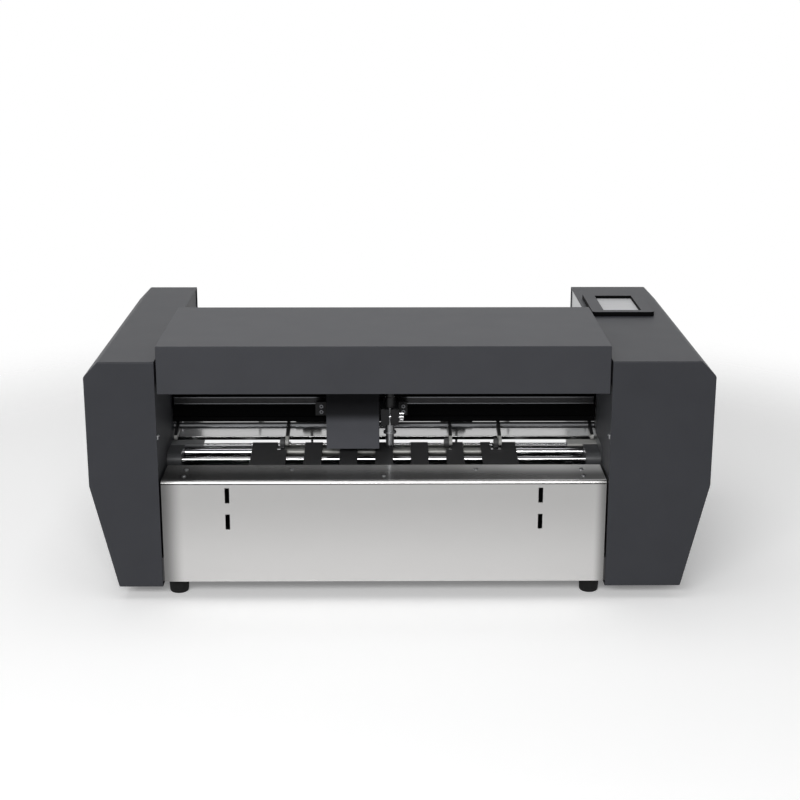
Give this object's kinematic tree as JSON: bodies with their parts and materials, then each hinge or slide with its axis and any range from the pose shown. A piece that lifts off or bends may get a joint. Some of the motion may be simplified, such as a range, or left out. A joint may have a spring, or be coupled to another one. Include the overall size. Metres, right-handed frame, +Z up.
{
  "type": "label cutting machine",
  "caption": "Desktop sheet label cutter: twin side covers, hinged lid over a knife carriage on a rail, guide plates, feed and pinch rollers, rear sheet feeder and a screen.",
  "frame": {"origin": "on the floor under the middle of the machine's overall width and depth", "axes": "+X to the machine's right as seen from the operator, +Y from the operator's side to the back, +Z up"},
  "size_m": [0.736, 0.43, 0.315],
  "materials": {
    "charcoal_powder_coat": "fine textured powder coat",
    "stainless_brushed": "brushed along the width",
    "polished_steel": "polished",
    "zinc_sheet": "zinc plated sheet",
    "black_anodised": "black anodised",
    "black_paint": "satin black",
    "black_plastic": "moulded",
    "dark_plastic": "moulded",
    "rubber": "moulded",
    "screen_glass": "anti-glare screen face",
    "light_plastic": "moulded, white to light grey",
    "circuit_board": "solder mask"
  },
  "bodies": {
    "chassis": {"base_pan": "zinc_sheet", "left_side_plate": "zinc_sheet", "right_side_plate": "zinc_sheet", "left_throat_panel": "charcoal_powder_coat", "right_throat_panel": "charcoal_powder_coat", "front_apron": "stainless_brushed", "feet": "rubber", "left_cover": "charcoal_powder_coat", "right_cover": "charcoal_powder_coat", "hinge_pins": "polished_steel", "x_beam": "black_anodised", "linear_rail": "stainless_brushed", "x_belt": "rubber", "x_motor": "black_paint", "idler_axle": "polished_steel", "shaft_bearings": "polished_steel", "shaft_end_guards": "dark_plastic", "feed_motor": "black_paint", "feed_belt": "rubber", "guide_plates": "black_paint", "infeed_strip": "light_plastic", "feed_table": "stainless_brushed", "stack_stop": "black_paint", "pickup_motor": "black_paint", "rear_panel": "zinc_sheet", "power_inlet": "black_plastic", "usb_port": "zinc_sheet", "screen_housing": "black_plastic", "display": "screen_glass", "control_board": "circuit_board", "power_supply": "zinc_sheet", "case_screws": "polished_steel"},
    "lid": {"top_cover": "charcoal_powder_coat"},
    "carriage": {"carriage_block": "stainless_brushed", "carriage_bracket": "black_anodised", "carriage_cover": "charcoal_powder_coat", "tool_solenoid": "dark_plastic", "tool_guide_pin": "polished_steel"},
    "tool_head": {"tool_clamp": "black_anodised", "blade_holder": "stainless_brushed", "blade": "polished_steel"},
    "clamp_knob": {"clamp_screw": "polished_steel"},
    "x_drive": {"x_drive_pulley": "zinc_sheet"},
    "x_idler": {"x_idler_pulley": "zinc_sheet"},
    "drive_roller": {"drive_shaft": "polished_steel", "drive_pulley": "zinc_sheet"},
    "exit_roller": {"exit_shaft": "polished_steel", "exit_pulley": "zinc_sheet"},
    "feed_drive": {"feed_motor_pulley": "zinc_sheet"},
    "pinch_bar": {"pinch_rod": "polished_steel", "pinch_arms": "light_plastic"},
    "pinch_wheel_1": {"pinch_roller_1": "rubber"},
    "pinch_wheel_2": {"pinch_roller_2": "rubber"},
    "pinch_wheel_3": {"pinch_roller_3": "rubber"},
    "pinch_wheel_4": {"pinch_roller_4": "rubber"},
    "left_guide": {"left_sheet_guide": "black_paint"},
    "right_guide": {"right_sheet_guide": "black_paint"},
    "pickup": {"pickup_shaft": "polished_steel", "pickup_rollers": "rubber"},
    "rocker": {"switch_rocker": "black_plastic"}
  },
  "joints": [
    {"name": "lid_hinge", "type": "hinge", "parent": "chassis", "child": "lid", "pos_m": [-0.01925, -0.017, 0.284], "axis": [-1, 0, 0], "range_deg": [0, 95]},
    {"name": "carriage_slide", "type": "slide", "parent": "chassis", "child": "carriage", "axis": [1, 0, 0], "range_m": [-0.166, 0.164]},
    {"name": "tool_lift", "type": "slide", "parent": "carriage", "child": "tool_head", "axis": [0, 0, 1], "range_m": [-0.0015, 0], "stiffness_N_per_m": 300, "springref_m": 0.02},
    {"name": "clamp_turn", "type": "hinge", "parent": "tool_head", "child": "clamp_knob", "pos_m": [-0.012, -0.1225, 0.2031], "axis": [1, 0, 0], "range_deg": [-180, 180]},
    {"name": "x_drive_spin", "type": "hinge", "parent": "chassis", "child": "x_drive", "pos_m": [0.296, -0.0825, 0.2315], "axis": [0, 1, 0], "continuous": true},
    {"name": "x_idler_spin", "type": "hinge", "parent": "chassis", "child": "x_idler", "pos_m": [-0.3125, -0.0825, 0.2315], "axis": [0, 1, 0], "continuous": true},
    {"name": "drive_spin", "type": "hinge", "parent": "chassis", "child": "drive_roller", "pos_m": [-0.01925, -0.099, 0.15009], "axis": [1, 0, 0], "continuous": true},
    {"name": "exit_spin", "type": "hinge", "parent": "chassis", "child": "exit_roller", "pos_m": [-0.01925, -0.125, 0.14886], "axis": [1, 0, 0], "continuous": true},
    {"name": "feed_motor_spin", "type": "hinge", "parent": "chassis", "child": "feed_drive", "pos_m": [0.2555, -0.112, 0.09686], "axis": [1, 0, 0], "continuous": true},
    {"name": "pinch_lift", "type": "hinge", "parent": "chassis", "child": "pinch_bar", "pos_m": [-0.01925, -0.055, 0.172], "axis": [-1, 0, 0], "range_deg": [0, 8]},
    {"name": "pinch_wheel_1_spin", "type": "hinge", "parent": "pinch_bar", "child": "pinch_wheel_1", "pos_m": [-0.14625, -0.099, 0.16244], "axis": [1, 0, 0], "continuous": true},
    {"name": "pinch_wheel_2_spin", "type": "hinge", "parent": "pinch_bar", "child": "pinch_wheel_2", "pos_m": [-0.04125, -0.099, 0.16244], "axis": [1, 0, 0], "continuous": true},
    {"name": "pinch_wheel_3_spin", "type": "hinge", "parent": "pinch_bar", "child": "pinch_wheel_3", "pos_m": [0.05875, -0.099, 0.16244], "axis": [1, 0, 0], "continuous": true},
    {"name": "pinch_wheel_4_spin", "type": "hinge", "parent": "pinch_bar", "child": "pinch_wheel_4", "pos_m": [0.12075, -0.099, 0.16244], "axis": [1, 0, 0], "continuous": true},
    {"name": "left_guide_slide", "type": "slide", "parent": "chassis", "child": "left_guide", "axis": [1, 0, 0], "range_m": [0, 0.11]},
    {"name": "right_guide_slide", "type": "slide", "parent": "chassis", "child": "right_guide", "axis": [1, 0, 0], "range_m": [-0.11, 0]},
    {"name": "pickup_spin", "type": "hinge", "parent": "chassis", "child": "pickup", "pos_m": [-0.01925, 0.025, 0.1695], "axis": [1, 0, 0], "continuous": true},
    {"name": "rocker_tilt", "type": "hinge", "parent": "chassis", "child": "rocker", "pos_m": [0.15075, 0.2065, 0.0905], "axis": [1, 0, 0], "range_deg": [-8, 8]}
  ],
  "couplings": [
    {"joint": "x_drive_spin", "follows": "carriage_slide", "rad_per_m": -156.99},
    {"joint": "x_idler_spin", "follows": "carriage_slide", "rad_per_m": -156.99},
    {"joint": "exit_spin", "follows": "drive_spin", "ratio": 1.5},
    {"joint": "feed_motor_spin", "follows": "drive_spin", "ratio": 1.2857},
    {"joint": "right_guide_slide", "follows": "left_guide_slide", "ratio": -1},
    {"joint": "pinch_wheel_1_spin", "follows": "drive_spin", "ratio": -1},
    {"joint": "pinch_wheel_2_spin", "follows": "drive_spin", "ratio": -1},
    {"joint": "pinch_wheel_3_spin", "follows": "drive_spin", "ratio": -1},
    {"joint": "pinch_wheel_4_spin", "follows": "drive_spin", "ratio": -1}
  ]
}
